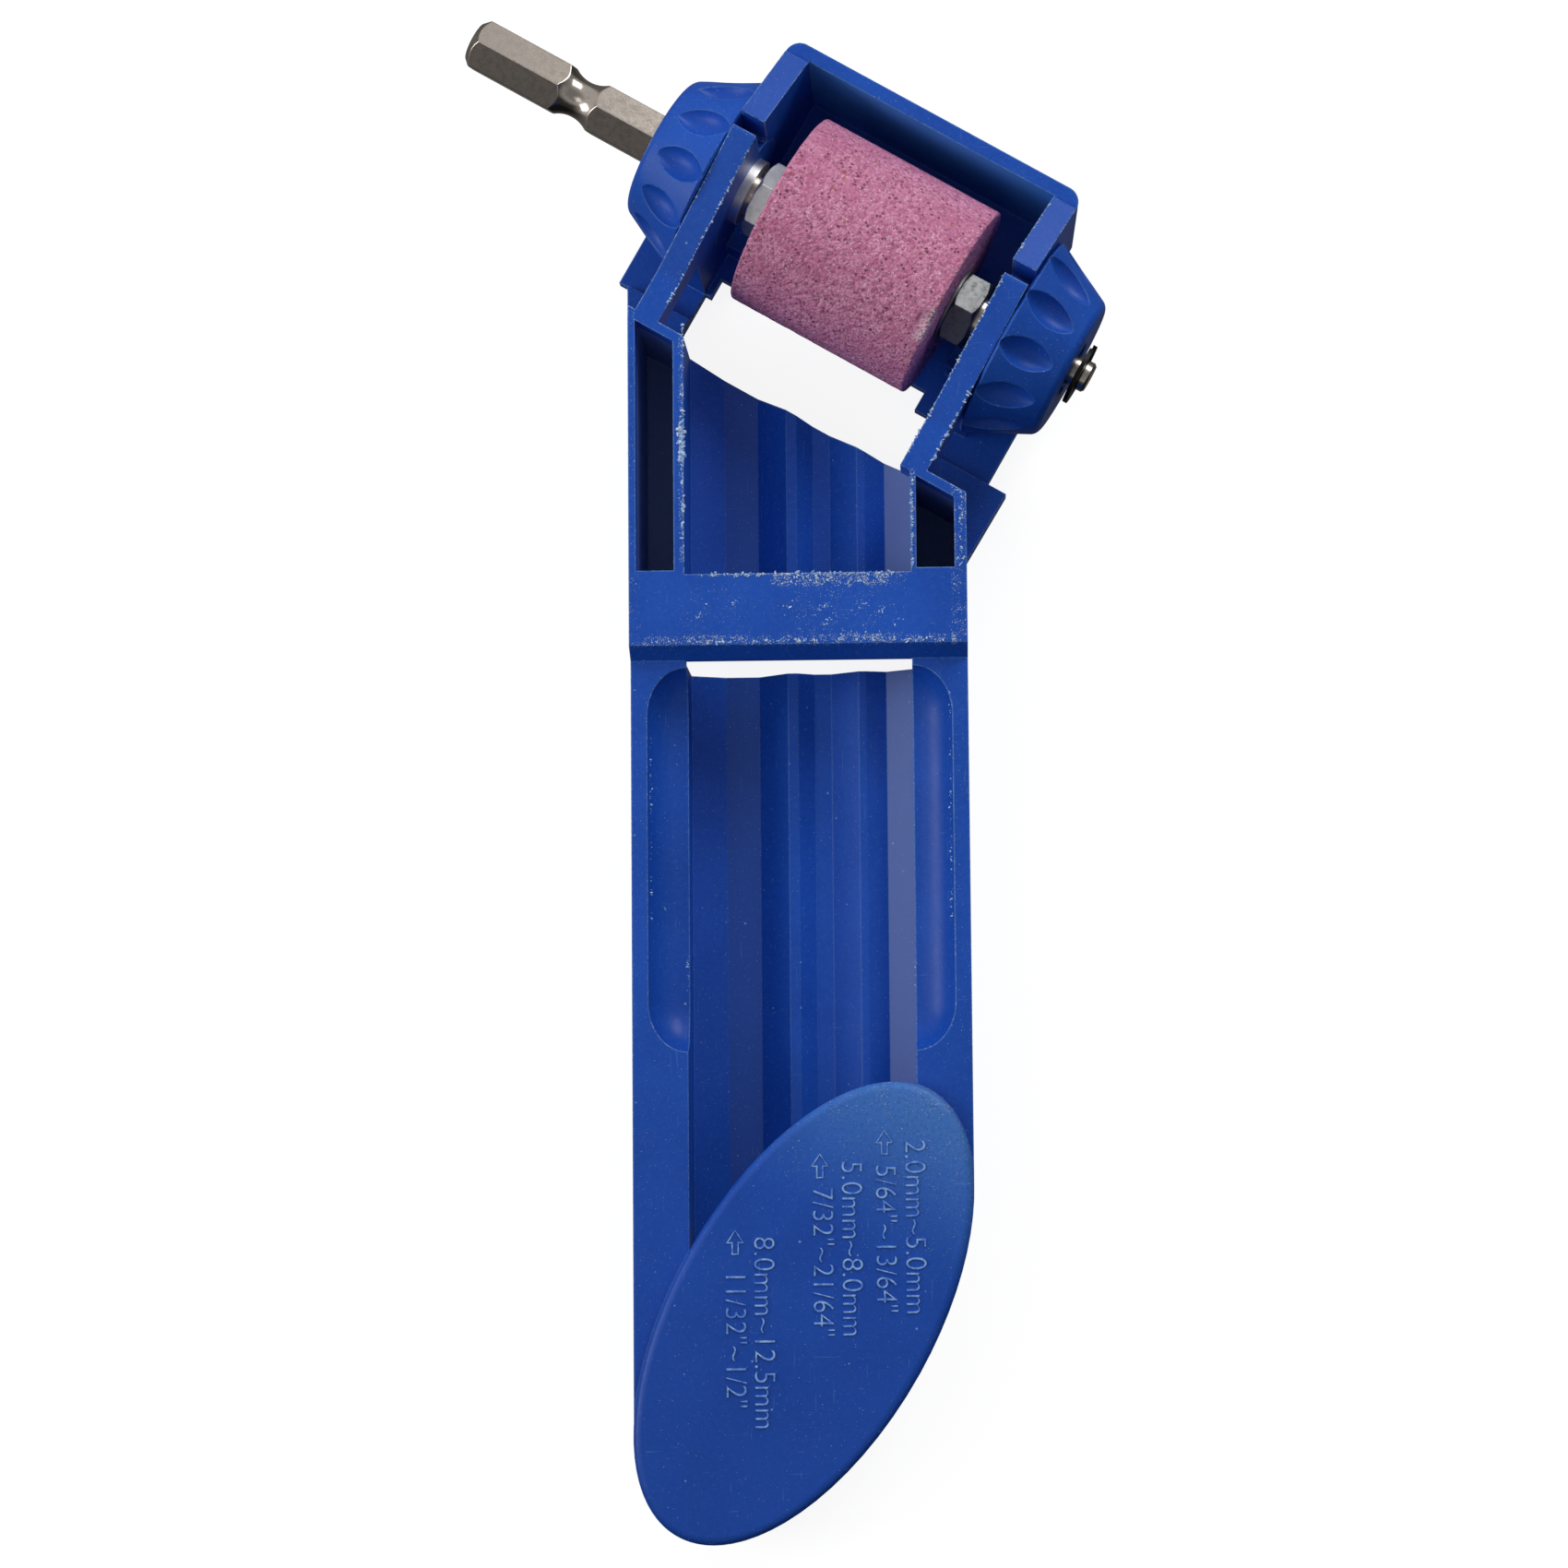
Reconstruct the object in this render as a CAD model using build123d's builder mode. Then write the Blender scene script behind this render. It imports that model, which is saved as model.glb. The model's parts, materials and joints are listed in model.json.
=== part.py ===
from build123d import *
import os
from math import cos, radians, sin, sqrt

os.makedirs("parts", exist_ok=True)

# Drill-driven drill bit sharpener, in millimetres.  +Z is up and the tool lies on its back, with
# its grooves open upwards.  +Y runs from the oval tail to the grinding head.  The origin is the
# centre of the overall outline, on the surface that the tool lies on.

# Frame
BODY_X = 1.579            # centreline of the trough
TAIL_Y = -95.482          # tip of the tail

# Trough
BODY_WIDTH = 41.8
HALF_WIDTH = BODY_WIDTH / 2
CHANNEL_HALF = 14.0       # half the width between the rails
RAIL_Z = 21.4             # top of the lower rails
DECK_Z = 24.2             # top of the bridge and of the pocket frames
FLOOR_THICKNESS = 2.3
FLOOR_END = 107.8         # the lower floor stops where the bridge starts
RAMP_START = 108.3        # the ramp from rail to deck
RAMP_END = 109.9
BRIDGE_END = 118.7
BRIDGE_UNDERSIDE = 20.2
BRIDGE_SIDE = 18.9        # the side walls are thinned to this, under the bridge
RIB_THICKNESS = 1.5
RIB_DROP = 1.0            # the ribs stop this far below the floor's top surface
RIB_STATIONS = (70.0, 88.0)
RAIL_CAVITY = (15.6, 19.2)
RAIL_CAVITY_Y = (58.0, 117.0)
RAIL_CAVITY_Z = 14.0

# Three V grooves: (x, z) of the floor's top surface, from the left rail to the right one
GROOVE_PROFILE = [
    (-CHANNEL_HALF, 9.5),
    (-9.7, 7.2),
    (-5.5, 7.2),
    (-1.75, 11.0),
    (-0.5, 11.0),
    (1.6, 9.5),
    (3.7, 9.5),
    (7.2, 12.4),
    (8.15, 12.4),
    (10.7, 11.5),
    (CHANNEL_HALF, 14.0),
]

# Oval end plate
PLATE_TILT = 30.5         # its long axis leans from +Y towards +X
PLATE_MAJOR = 31.1
PLATE_CENTRE = 28.05
PLATE_TOP = 23.2
PLATE_EDGE_RADIUS = 1.0
SKIRT_THICKNESS = 2.0

# Finger scoops in the rails
SCOOP_RADIUS = 4.8
SCOOP_AXIS_X = 14.1
SCOOP_AXIS_Z = 21.7
SCOOP_START = 59.9
SCOOP_STOP = 107.4
SCOOP_END = 6.0           # length of each rounded end

# Pockets beside the upper floor
POCKET_START = 119.2
POCKET_FLOOR_Z = 2.0
POCKET_WALL = 1.2         # between a pocket and the head
LEFT_POCKET = (-20.0, -15.3)
RIGHT_POCKET = (14.7, 19.4)

# Head: u runs along the wheel's axle, towards the free end, and v across it, away from the tail
HEAD_ANGLE = 30.0
HEAD_X = 8.7              # middle of the head, from the trough's centreline
HEAD_Y = 160.0            # and from the tail
V_FRAME = -21.2           # end of the pocket frames
V_FLOOR = -21.2           # end of the upper floor
V_PLATE = -11.8           # lower edge of the back plate between the flanges
V_WINDOW = -9.0           # and of the notch in its middle
WINDOW_U = (-16.7, 13.6)
GUARD_LENGTH = 23.1
FLANGE_ARCH_Z = 18.7      # the flanges are open below this, ahead of the back plate
V_GUARD = -15.9           # lower edge of the knob guards
V_WALL_IN = 16.9
V_WALL_OUT = 18.7
FLANGE_IN = 17.55
FLANGE_OUT = 20.8
FLANGE_PEAK_Z = 29.7
FLANGE_REAR_Z = 23.3
FLANGE_RISE_V = -15.6     # where the flange's top starts to climb
FLANGE_PEAK_V = (3.6, 6.3)
FLANGE_CREST_DROP = 0.3
SLOT_V = 5.1              # the split in each flange, and its size
SLOT_WIDTH = 2.0
SLOT_DEPTH = 9.0
WALL_Z = 22.9
WALL_CORNER = 2.0
PLATE_Z = 2.0             # thickness of the back plate and the guards
GUARD_DRIVE_U = 28.1
GUARD_FREE_U = 26.6
SKIRT_FREE_U = 29.4       # outer corner of the low skirt on the free side
SKIRT_FREE_Y = 122.7
SKIRT_DRIVE_X = -22.4     # outer face of the low skirt on the drive side
SKIRT_Z = 3.7
GUSSET_V = -2.5           # low blocks inside the flanges, under the clamp nuts
GUSSET_LENGTH = 6.5
GUSSET_HEIGHT = 5.5
GUSSET_DRIVE = 4.2
GUSSET_FREE = 2.8

# Axle and eccentric adjusters
AXLE_Z = 16.7
ECCENTRICITY = 1.1
KNOB_Z = AXLE_Z - ECCENTRICITY
KNOB_BASE_RADIUS = 13.4
KNOB_FACE_RADIUS = 9.1
KNOB_START = 20.95
KNOB_END = 29.8
KNOB_BASE_BREAK = 0.3
FACE_ROUND = 0.8
BOSS_RADIUS = 7.44
BORE_RADIUS = 7.50
DIMPLE_COUNT = 12
DIMPLE_LENGTH = 8.6
DIMPLE_RADIUS = 2.0
DIMPLE_U = 24.75
DIMPLE_LIFT = 0.5         # a dimple's axis lies this far above the cone
DIMPLE_LEAN = 26.0
DRIVE_BUSH_RADIUS = 4.4
FREE_BUSH_RADIUS = 3.7
BUSH_DRIVE_INNER = -16.4
BUSH_END = 29.4

# Spindle group
HEX_FLATS = 6.35
HEX_TURN = 23.0            # lean of the shank's upper flat, in degrees
SHANK_TIP = -57.0
SHANK_ROOT = -29.8
NECK_START = -44.4
NECK_END = -38.5
NECK_RADIUS = 2.5
JOURNAL_RADIUS = 3.0
JOURNAL_END = 17.3
TAIL_RADIUS = 2.0
TAIL_END = 32.3
CLIP_START = 30.6
CLIP_THICKNESS = 0.55
CLIP_RADIUS = 4.1
CLIP_GROOVE_RADIUS = 1.5
CLIP_INNER = 2.7
CLIP_LUG = 1.5
CLIP_OPENING = 3.4
CLIP_OPENING_ANGLE = 20.0
WHEEL_START = -12.5
WHEEL_END = 12.5
WHEEL_RADIUS = 12.75
WHEEL_BEVEL = 0.4
WASHER_RADIUS = 4.9
WASHER_THICKNESS = 0.4
NUT_FLATS = 8.8
NUT_BEVEL = 0.55
NUT_DRIVE_START = -15.6
NUT_DRIVE_TURN = 22.0      # lean of each nut's corners, in degrees
NUT_FREE_END = 16.2
NUT_FREE_TURN = 40.0
RUNNING_CLEARANCE = 0.05
SEAT_CLEARANCE = 0.02


# Directions and planes of the head
COS_HEAD = cos(radians(HEAD_ANGLE))
SIN_HEAD = sin(radians(HEAD_ANGLE))
U_DIR = Vector(COS_HEAD, -SIN_HEAD, 0)
V_DIR = Vector(SIN_HEAD, COS_HEAD, 0)


def deck(z):
    """Level plane at height z: x from the trough's centreline, y from the tail."""
    return Plane(origin=(BODY_X, TAIL_Y, z))


def cross(y):
    """Upright plane across the trough, y from the tail: x from the centreline, y up."""
    return Plane(origin=(BODY_X, TAIL_Y + y, 0), x_dir=(1, 0, 0), z_dir=(0, -1, 0))


def side_plane():
    """Upright plane along the trough's centreline: x from the tail, y up."""
    return Plane(origin=(BODY_X, TAIL_Y, 0), x_dir=(0, 1, 0), z_dir=(1, 0, 0))


def head(z):
    """Level plane at height z: x along the axle, y across it."""
    origin = Vector(BODY_X + HEAD_X, TAIL_Y + HEAD_Y, z)
    return Plane(origin=origin, x_dir=U_DIR, z_dir=(0, 0, 1))


def station(u, z=0.0):
    """Upright plane square to the axle at u: x across the axle, y up from z."""
    origin = Vector(BODY_X + HEAD_X, TAIL_Y + HEAD_Y, z) + U_DIR * u
    return Plane(origin=origin, x_dir=V_DIR, z_dir=U_DIR)


def axial(z):
    """Upright plane through an axis at height z along the axle: x along it, y up from it."""
    origin = Vector(BODY_X + HEAD_X, TAIL_Y + HEAD_Y, z)
    return Plane(origin=origin, x_dir=U_DIR, z_dir=-V_DIR)


def axle_axis(z):
    return Axis((BODY_X + HEAD_X, TAIL_Y + HEAD_Y, z), U_DIR)


def head_point(u, v):
    """The (x, y) on a deck plane of a point given along and across the axle."""
    return (
        HEAD_X + u * COS_HEAD + v * SIN_HEAD,
        HEAD_Y - u * SIN_HEAD + v * COS_HEAD,
    )


def oblique(x, v):
    """The y, from the tail, where the line of constant v crosses x."""
    return HEAD_Y + (v - (x - HEAD_X) * SIN_HEAD) / COS_HEAD


# The plate's short half axis makes the oval touch both sides of the trough
TILT_SIN = sin(radians(PLATE_TILT))
TILT_COS = cos(radians(PLATE_TILT))
PLATE_MINOR = sqrt(HALF_WIDTH**2 - (PLATE_MAJOR * TILT_SIN) ** 2) / TILT_COS
TANGENT_RISE = TILT_SIN * TILT_COS * (PLATE_MAJOR**2 - PLATE_MINOR**2) / HALF_WIDTH


def oval(inset):
    """The end plate's outline on a deck plane, drawn in by inset."""
    with Locations((0, PLATE_CENTRE)):
        Ellipse(PLATE_MAJOR - inset, PLATE_MINOR - inset, rotation=90 - PLATE_TILT)


def polygon(points, mode=Mode.ADD):
    """A straight-sided outline, its points where they are given."""
    Polygon(*points, align=None, mode=mode)


def floor_slab(start, length):
    """A stretch of the grooved floor, of even thickness."""
    top = GROOVE_PROFILE
    bottom = [(x, z - FLOOR_THICKNESS) for x, z in reversed(top)]
    with BuildSketch(cross(start)) as slab:
        polygon(top + bottom)
    extrude(slab.sketch, amount=-length)


def pocket(left, right):
    """A deep blind pocket that ends square to the head."""
    with BuildSketch(deck(POCKET_FLOOR_Z)) as mouth:
        polygon([
            (left, POCKET_START),
            (left, oblique(left, V_FRAME - POCKET_WALL)),
            (right, oblique(right, V_FRAME - POCKET_WALL)),
            (right, POCKET_START),
        ])
    extrude(mouth.sketch, amount=DECK_Z, mode=Mode.SUBTRACT)


def flange(near):
    """One split flange of the head, from u = near outwards, with its knob bore."""
    with BuildSketch(station(near)) as web:
        polygon([
            (V_FRAME - 1, FLANGE_ARCH_Z),
            (V_FRAME - 1, DECK_Z),
            (FLANGE_RISE_V, DECK_Z),
            (FLANGE_PEAK_V[0], FLANGE_PEAK_Z),
            (FLANGE_PEAK_V[1], FLANGE_PEAK_Z - FLANGE_CREST_DROP),
            (V_WALL_IN - 0.3, FLANGE_REAR_Z),
            (V_WALL_IN - 0.3, WALL_Z - 0.5),
            (V_WALL_IN + 0.2, WALL_Z - 0.5),
            (V_WALL_IN + 0.2, 0),
            (V_PLATE, 0),
            (V_PLATE, FLANGE_ARCH_Z),
        ])
        with Locations((0, KNOB_Z)):
            Circle(BORE_RADIUS, mode=Mode.SUBTRACT)
        with Locations((SLOT_V, FLANGE_PEAK_Z)):
            Rectangle(SLOT_WIDTH, 2 * SLOT_DEPTH, mode=Mode.SUBTRACT)
    extrude(web.sketch, amount=FLANGE_OUT - FLANGE_IN)


# ---------------------------------------------------------------- housing
LOW = -1.0                # cuts start below the underside
TALL = 40.0               # and run out above the top

with BuildPart() as housing:
    # Rails: a block with the oval's outline at the tail and an oblique end at the head
    with BuildSketch(deck(0)):
        polygon([
            (-HALF_WIDTH, PLATE_CENTRE - TANGENT_RISE),
            (-HALF_WIDTH, oblique(-HALF_WIDTH, V_FRAME)),
            (HALF_WIDTH, oblique(HALF_WIDTH, V_FRAME)),
            (HALF_WIDTH, PLATE_CENTRE + TANGENT_RISE),
        ])
        oval(0)
    extrude(amount=RAIL_Z)

    # Pocket frames, raised above the rails, with the ramp up to them
    with BuildSketch(deck(RAIL_Z)):
        polygon([
            (-HALF_WIDTH, RAMP_END),
            (-HALF_WIDTH, oblique(-HALF_WIDTH, V_FRAME)),
            (HALF_WIDTH, oblique(HALF_WIDTH, V_FRAME)),
            (HALF_WIDTH, RAMP_END),
        ])
    extrude(amount=DECK_Z - RAIL_Z)
    with BuildSketch(side_plane()):
        polygon([(RAMP_START, RAIL_Z), (RAMP_END, DECK_Z), (RAMP_END, RAIL_Z)])
    extrude(amount=HALF_WIDTH, both=True)

    # The channel runs right through, and the floor is put back in two stretches
    with BuildSketch(deck(LOW)):
        polygon([
            (-CHANNEL_HALF, PLATE_CENTRE),
            (-CHANNEL_HALF, HEAD_Y),
            (CHANNEL_HALF, HEAD_Y),
            (CHANNEL_HALF, PLATE_CENTRE),
        ])
    extrude(amount=TALL, mode=Mode.SUBTRACT)
    floor_slab(PLATE_CENTRE, FLOOR_END - PLATE_CENTRE)
    floor_slab(BRIDGE_END - 1, oblique(-CHANNEL_HALF, V_FLOOR) - BRIDGE_END + 1)
    with BuildSketch(head(LOW)):
        with Locations((0, V_FLOOR)):
            Rectangle(2 * FLANGE_IN, 30, align=(Align.CENTER, Align.MIN))
    extrude(amount=TALL, mode=Mode.SUBTRACT)

    # Hollow under the oval plate, down to a skirt round its edge
    with BuildSketch(deck(LOW)):
        oval(SKIRT_THICKNESS)
    extrude(amount=RAIL_Z - LOW, mode=Mode.SUBTRACT)

    # Long cavities under the rails, open below
    for side in (-1, 1):
        with BuildSketch(deck(LOW)):
            with Locations((side * sum(RAIL_CAVITY) / 2, sum(RAIL_CAVITY_Y) / 2)):
                Rectangle(RAIL_CAVITY[1] - RAIL_CAVITY[0], RAIL_CAVITY_Y[1] - RAIL_CAVITY_Y[0])
        extrude(amount=RAIL_CAVITY_Z - LOW, mode=Mode.SUBTRACT)

    # Below the bridge the side walls are thinned to their outer skins
    with BuildSketch(deck(LOW)):
        with Locations((0, (FLOOR_END + BRIDGE_END) / 2)):
            Rectangle(2 * BRIDGE_SIDE, BRIDGE_END - FLOOR_END)
    extrude(amount=BRIDGE_UNDERSIDE - LOW, mode=Mode.SUBTRACT)

    # Ribs under the floor
    for y in (*RIB_STATIONS, FLOOR_END - RIB_THICKNESS / 2, BRIDGE_END + RIB_THICKNESS / 2):
        with BuildSketch(cross(y)):
            polygon([
                (-CHANNEL_HALF, 0),
                *[(x, z - RIB_DROP) for x, z in GROOVE_PROFILE],
                (CHANNEL_HALF, 0),
            ])
        extrude(amount=RIB_THICKNESS / 2, both=True)

    # Bridge over the channel
    with BuildSketch(side_plane()):
        polygon([
            (RAMP_START, BRIDGE_UNDERSIDE),
            (RAMP_START, RAIL_Z),
            (RAMP_END, DECK_Z),
            (BRIDGE_END, DECK_Z),
            (BRIDGE_END, BRIDGE_UNDERSIDE),
        ])
    extrude(amount=CHANNEL_HALF + 0.5, both=True)

    # Finger scoops
    for side in (-1, 1):
        scoop_plane = Plane(
            origin=(BODY_X + side * SCOOP_AXIS_X, TAIL_Y, SCOOP_AXIS_Z), x_dir=(0, 1, 0), z_dir=(1, 0, 0)
        )
        with BuildSketch(scoop_plane):
            with BuildLine():
                first = SCOOP_START + SCOOP_END
                last = SCOOP_STOP - SCOOP_END
                Line((SCOOP_START, 0), (SCOOP_STOP, 0))
                EllipticalCenterArc((last, 0), SCOOP_END, SCOOP_RADIUS, start_angle=0, arc_size=90)
                Line((last, SCOOP_RADIUS), (first, SCOOP_RADIUS))
                EllipticalCenterArc((first, 0), SCOOP_END, SCOOP_RADIUS, start_angle=90, arc_size=90)
            make_face()
        revolve(axis=Axis(scoop_plane.origin, (0, 1, 0)), mode=Mode.SUBTRACT)

    # Oval end plate
    with BuildSketch(deck(RAIL_Z)):
        oval(0)
    extrude(amount=PLATE_TOP - RAIL_Z)
    rim = housing.edges().filter_by(GeomType.ELLIPSE).group_by(Axis.Z)[-1]
    fillet(rim, radius=PLATE_EDGE_RADIUS)

    # Head: back plate with knob guards, window for the bit, flanges and end wall
    with BuildSketch(head(0)) as back_plate:
        with Locations((0, V_PLATE)):
            Rectangle(2 * FLANGE_OUT, V_WALL_OUT - V_PLATE, align=(Align.CENTER, Align.MIN))
        fillet(back_plate.vertices().group_by(Axis.Y)[-1], radius=WALL_CORNER)
        with Locations((-GUARD_DRIVE_U, V_GUARD)):
            Rectangle(GUARD_DRIVE_U - FLANGE_IN, GUARD_LENGTH, align=(Align.MIN, Align.MIN))
        with Locations((GUARD_FREE_U, V_GUARD)):
            Rectangle(GUARD_FREE_U - FLANGE_IN, GUARD_LENGTH, align=(Align.MAX, Align.MIN))
        polygon(
            [
                (WINDOW_U[0], V_PLATE - 1),
                (WINDOW_U[0], V_WINDOW),
                (WINDOW_U[1], V_WINDOW),
                (WINDOW_U[1], V_PLATE - 1),
            ],
            mode=Mode.SUBTRACT,
        )
    extrude(amount=PLATE_Z)
    with BuildSketch(deck(0)):
        polygon([
            (SKIRT_DRIVE_X, oblique(-HALF_WIDTH, V_FRAME) - 2),
            (SKIRT_DRIVE_X, oblique(SKIRT_DRIVE_X, V_GUARD)),
            head_point(-FLANGE_IN, V_GUARD),
            head_point(-FLANGE_IN, V_FRAME - 1),
        ])
        polygon([
            (HALF_WIDTH, oblique(HALF_WIDTH, V_FRAME) - 8),
            head_point(FLANGE_IN, V_FRAME - 1),
            head_point(FLANGE_IN, V_GUARD),
            head_point(SKIRT_FREE_U, V_GUARD),
            (HALF_WIDTH, SKIRT_FREE_Y),
        ])
    extrude(amount=SKIRT_Z)
    flange(-FLANGE_OUT)
    flange(FLANGE_IN)
    with BuildSketch(head(0)) as end_wall:
        with Locations((0, V_WALL_OUT)):
            Rectangle(2 * FLANGE_OUT, 2 * WALL_CORNER, align=(Align.CENTER, Align.MAX))
        fillet(end_wall.vertices().group_by(Axis.Y)[-1], radius=WALL_CORNER)
        with Locations((0, V_WALL_IN)):
            Rectangle(2 * FLANGE_IN, 2 * WALL_CORNER, align=(Align.CENTER, Align.MAX), mode=Mode.SUBTRACT)
    extrude(amount=WALL_Z)

    # Gussets from the flanges to the back plate, below the clamp nuts
    with BuildSketch(head(PLATE_Z)):
        with Locations((-FLANGE_IN, GUSSET_V)):
            Rectangle(GUSSET_DRIVE, GUSSET_LENGTH, align=(Align.MIN, Align.CENTER))
        with Locations((FLANGE_IN, GUSSET_V)):
            Rectangle(GUSSET_FREE, GUSSET_LENGTH, align=(Align.MAX, Align.CENTER))
    extrude(amount=GUSSET_HEIGHT)

    pocket(*LEFT_POCKET)
    pocket(*RIGHT_POCKET)

housing.part.label = "housing"
export_step(housing.part, "parts/housing.step")


# ---------------------------------------------------------------- adjuster knobs
def ring(inner, outer, start, stop, z):
    """A plain sleeve on the axle line at height z, or a rod if inner is 0, added to the part."""
    with BuildSketch(station(start, z)) as ends:
        Circle(outer)
        if inner > 0:
            Circle(inner, mode=Mode.SUBTRACT)
    extrude(ends.sketch, amount=stop - start)


# A lens-shaped dimple, its length along local x
with BuildPart() as dimple:
    with BuildSketch(Plane.XZ):
        with BuildLine():
            Line((-DIMPLE_LENGTH / 2, 0), (DIMPLE_LENGTH / 2, 0))
            ThreePointArc((-DIMPLE_LENGTH / 2, 0), (0, DIMPLE_RADIUS), (DIMPLE_LENGTH / 2, 0))
        make_face()
    revolve(axis=Axis.X)

CONE_SLOPE = (KNOB_FACE_RADIUS - KNOB_BASE_RADIUS) / (KNOB_END - KNOB_START)
DIMPLE_R = KNOB_BASE_RADIUS + CONE_SLOPE * (DIMPLE_U - KNOB_START) + DIMPLE_LIFT


def knob(outward, bush_radius):
    """One conical adjuster: outward is +1 on the free side and -1 on the drive side."""
    with BuildPart() as cone:
        with BuildSketch(axial(KNOB_Z)):
            with BuildLine():
                face_in = (outward * KNOB_END, KNOB_FACE_RADIUS - FACE_ROUND)
                shoulder = (
                    outward * (KNOB_END - 0.9 * FACE_ROUND),
                    KNOB_FACE_RADIUS - 0.9 * FACE_ROUND * CONE_SLOPE,
                )
                middle = (
                    outward * (KNOB_END - 0.25 * FACE_ROUND),
                    KNOB_FACE_RADIUS - 0.25 * FACE_ROUND,
                )
                Polyline(
                    face_in,
                    (outward * KNOB_END, 0),
                    (outward * FLANGE_IN, 0),
                    (outward * FLANGE_IN, BOSS_RADIUS),
                    (outward * KNOB_START, BOSS_RADIUS),
                    (outward * KNOB_START, KNOB_BASE_RADIUS - KNOB_BASE_BREAK),
                    (outward * (KNOB_START + KNOB_BASE_BREAK), KNOB_BASE_RADIUS),
                    shoulder,
                )
                ThreePointArc(shoulder, middle, face_in)
            make_face()
        revolve(axis=axle_axis(KNOB_Z))
        with BuildSketch(station(outward * FLANGE_IN, AXLE_Z)):
            Circle(bush_radius + SEAT_CLEARANCE)
        extrude(amount=outward * (KNOB_END - FLANGE_IN + 1), mode=Mode.SUBTRACT)
        for index in range(DIMPLE_COUNT):
            turn = Rotation((index + 0.5) * 360 / DIMPLE_COUNT, 0, 0)
            slope = Rotation(0, outward * DIMPLE_LEAN, 0)
            seat = Location((outward * DIMPLE_U, 0, DIMPLE_R))
            frame = Plane(axle_axis(KNOB_Z).position, x_dir=U_DIR, z_dir=(0, 0, 1)).location
            add(dimple.part.moved(frame * turn * seat * slope), mode=Mode.SUBTRACT)
    return cone.part


knob_drive = knob(-1, DRIVE_BUSH_RADIUS)
knob_drive.label = "knob_drive"
export_step(knob_drive, "parts/knob_drive.step")
knob_free = knob(1, FREE_BUSH_RADIUS)
knob_free.label = "knob_free"
export_step(knob_free, "parts/knob_free.step")

# ---------------------------------------------------------------- bearing bushes
with BuildPart() as bush_drive:
    ring(JOURNAL_RADIUS + RUNNING_CLEARANCE, DRIVE_BUSH_RADIUS, -BUSH_END, BUSH_DRIVE_INNER, AXLE_Z)
bush_drive.part.label = "bush_drive"
export_step(bush_drive.part, "parts/bush_drive.step")

with BuildPart() as bush_free:
    ring(TAIL_RADIUS + RUNNING_CLEARANCE, FREE_BUSH_RADIUS, FLANGE_IN, BUSH_END, AXLE_Z)
bush_free.part.label = "bush_free"
export_step(bush_free.part, "parts/bush_free.step")

# ---------------------------------------------------------------- spindle
SHANK_RADIUS = HEX_FLATS / 2
HEX_CORNER = SHANK_RADIUS / cos(radians(30))

with BuildPart() as spindle:
    with BuildSketch(station(SHANK_TIP, AXLE_Z)):
        RegularPolygon(SHANK_RADIUS, 6, major_radius=False, rotation=-HEX_TURN)
    extrude(amount=SHANK_ROOT - SHANK_TIP)
    ring(0, JOURNAL_RADIUS, SHANK_ROOT, JOURNAL_END, AXLE_Z)
    ring(0, TAIL_RADIUS, JOURNAL_END, TAIL_END, AXLE_Z)
    # Ball-detent neck, bevelled tip and clip groove, all turned
    with BuildSketch(axial(AXLE_Z)):
        with BuildLine():
            waist = (NECK_START + NECK_END) / 2
            Line((NECK_START, HEX_CORNER + 0.1), (NECK_END, HEX_CORNER + 0.1))
            ThreePointArc(
                (NECK_START, HEX_CORNER + 0.1),
                (waist + 0.3, NECK_RADIUS),
                (NECK_END, HEX_CORNER + 0.1),
            )
        make_face()
        Polygon(
            (SHANK_TIP - 0.1, HEX_CORNER - 1.2),
            (SHANK_TIP - 0.1, HEX_CORNER + 0.2),
            (SHANK_TIP + 1.4, HEX_CORNER + 0.2),
            align=None,
        )
        Polygon(
            (TAIL_END + 0.1, TAIL_RADIUS - 0.4),
            (TAIL_END + 0.1, TAIL_RADIUS + 0.1),
            (TAIL_END - 0.4, TAIL_RADIUS + 0.1),
            align=None,
        )
        with Locations((CLIP_START - 0.03, CLIP_GROOVE_RADIUS)):
            Rectangle(CLIP_THICKNESS + 0.06, 1, align=(Align.MIN, Align.MIN))
    revolve(axis=axle_axis(AXLE_Z), mode=Mode.SUBTRACT)
spindle.part.label = "spindle"
export_step(spindle.part, "parts/spindle.step")

# ---------------------------------------------------------------- wheel, washers and nuts
NUT_CORNER = NUT_FLATS / 2 / cos(radians(30))

with BuildPart() as grinding_wheel:
    ring(JOURNAL_RADIUS + SEAT_CLEARANCE, WHEEL_RADIUS, WHEEL_START, WHEEL_END, AXLE_Z)
    rims = grinding_wheel.edges().filter_by(GeomType.CIRCLE).group_by(SortBy.RADIUS)[-1]
    chamfer(rims, length=WHEEL_BEVEL)
grinding_wheel.part.label = "grinding_wheel"
export_step(grinding_wheel.part, "parts/grinding_wheel.step")

with BuildPart() as washer_drive:
    ring(
        JOURNAL_RADIUS + SEAT_CLEARANCE,
        WASHER_RADIUS,
        WHEEL_START - WASHER_THICKNESS,
        WHEEL_START,
        AXLE_Z,
    )
washer_drive.part.label = "washer_drive"
export_step(washer_drive.part, "parts/washer_drive.step")

with BuildPart() as washer_free:
    ring(
        JOURNAL_RADIUS + SEAT_CLEARANCE,
        WASHER_RADIUS,
        WHEEL_END,
        WHEEL_END + WASHER_THICKNESS,
        AXLE_Z,
    )
washer_free.part.label = "washer_free"
export_step(washer_free.part, "parts/washer_free.step")


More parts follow.
